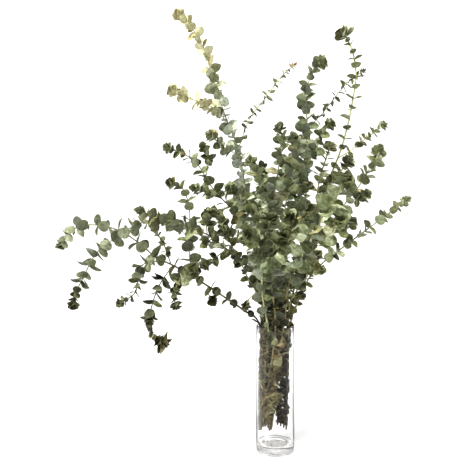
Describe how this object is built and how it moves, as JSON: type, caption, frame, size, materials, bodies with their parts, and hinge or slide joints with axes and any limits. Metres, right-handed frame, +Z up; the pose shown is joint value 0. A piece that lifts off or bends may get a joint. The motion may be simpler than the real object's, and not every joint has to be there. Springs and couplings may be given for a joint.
{
  "type": "eucalyptus branches in a glass cylinder vase",
  "caption": "Bunch of tall round-leaved eucalyptus branches fanning out of a clear glass cylinder vase, with one side arching down.",
  "frame": {"origin": "centre of the vase's underside, on the surface it stands on", "axes": "+Z up along the vase's axis, +X to the viewer's right, -Y towards the viewer"},
  "size_m": [0.8259, 0.6623, 1.083],
  "materials": {
    "glass": "clear polished glass",
    "foliage_pale": "matt yellow-green leaves on a pale stem",
    "foliage_grey": "matt grey-green leaves with a waxy bloom",
    "foliage_dark": "matt dark green leaves"
  },
  "bodies": {
    "root": {"vase": "glass", "branch_pale_crown": "foliage_pale", "branch_left_arch": "foliage_grey", "branch_left_mid": "foliage_grey", "branch_left_upper": "foliage_grey", "branch_centre_left": "foliage_grey", "branch_centre_up": "foliage_grey", "branch_tall_right": "foliage_grey", "branch_right_upper": "foliage_grey", "branch_right_arch": "foliage_grey", "branch_front_right": "foliage_grey", "branch_front_centre": "foliage_grey", "branch_neck_left": "foliage_dark", "branch_neck_right": "foliage_dark", "branch_centre_back": "foliage_dark", "branch_back_left": "foliage_dark", "branch_back_centre": "foliage_dark", "branch_back_right": "foliage_dark"}
  },
  "joints": []
}
